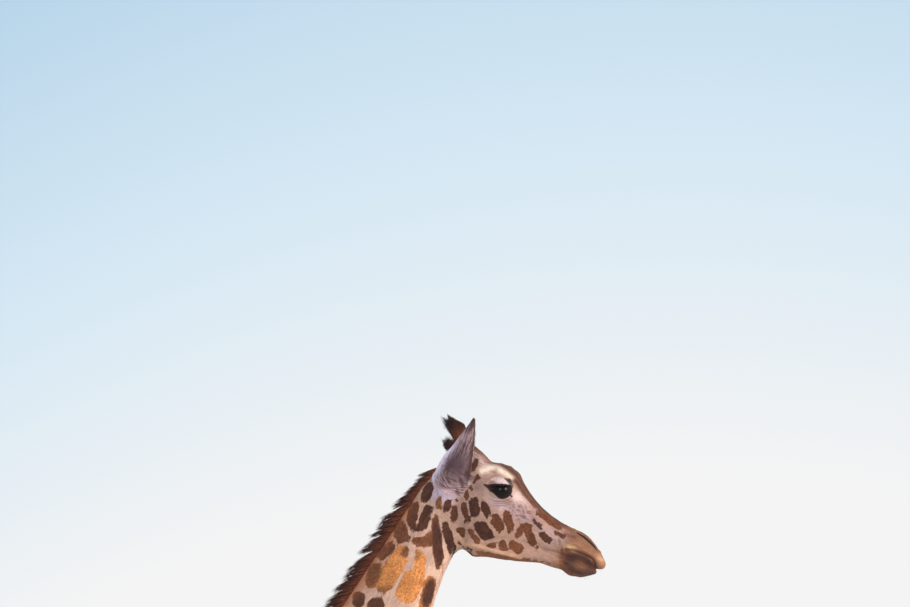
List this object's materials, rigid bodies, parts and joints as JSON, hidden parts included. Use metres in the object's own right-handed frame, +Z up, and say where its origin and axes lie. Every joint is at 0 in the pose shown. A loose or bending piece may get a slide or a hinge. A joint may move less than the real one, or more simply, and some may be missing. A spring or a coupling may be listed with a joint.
{
  "type": "giraffe calf",
  "caption": "Life-size young giraffe standing still, its head level and turned neither way, with a patched coat, tufted ossicones, an upright mane and a hanging tail.",
  "frame": {"origin": "on the floor, under the middle of the animal's bounding box", "axes": "+Z up, +X the way the animal faces, +Y to its left side"},
  "size_m": [1.7336, 0.3974, 2.5591],
  "materials": {
    "coat_patched": "short flat fur, brown patches in a net of pale lines",
    "coat_pale": "short flat fur, pale and unmarked",
    "muzzle": "very short velvety fur over bare lips",
    "ear": "fine short fur, grey-lilac on the back",
    "mane": "stiff upright hair, red-brown with dark tips",
    "dark_hair": "long loose hair, brown-black",
    "eye": "wet and glossy, nearly black",
    "hoof": "dull dark horn with fine growth rings"
  },
  "bodies": {
    "root": {"head": "coat_patched", "neck_upper": "coat_patched", "neck_middle": "coat_patched", "neck_lower": "coat_patched", "chest": "coat_patched", "barrel": "coat_patched", "hindquarters": "coat_patched", "forearm_front_left": "coat_patched", "forearm_front_right": "coat_patched", "thigh_hind_left": "coat_patched", "thigh_hind_right": "coat_patched", "cannon_front_left": "coat_pale", "cannon_front_right": "coat_pale", "cannon_hind_left": "coat_pale", "cannon_hind_right": "coat_pale", "pastern_front_left": "coat_pale", "pastern_front_right": "coat_pale", "pastern_hind_left": "coat_pale", "pastern_hind_right": "coat_pale", "muzzle": "muzzle", "lower_jaw": "muzzle", "ear_left": "ear", "ear_right": "ear", "ossicone_left": "coat_patched", "ossicone_right": "coat_patched", "ossicone_tuft_left": "dark_hair", "ossicone_tuft_right": "dark_hair", "tail_tuft": "dark_hair", "mane": "mane", "tail": "coat_patched", "eye_left": "eye", "eye_right": "eye", "hoof_front_left_outer": "hoof", "hoof_front_left_inner": "hoof", "hoof_front_right_outer": "hoof", "hoof_front_right_inner": "hoof", "hoof_hind_left_outer": "hoof", "hoof_hind_left_inner": "hoof", "hoof_hind_right_outer": "hoof", "hoof_hind_right_inner": "hoof"}
  },
  "joints": []
}
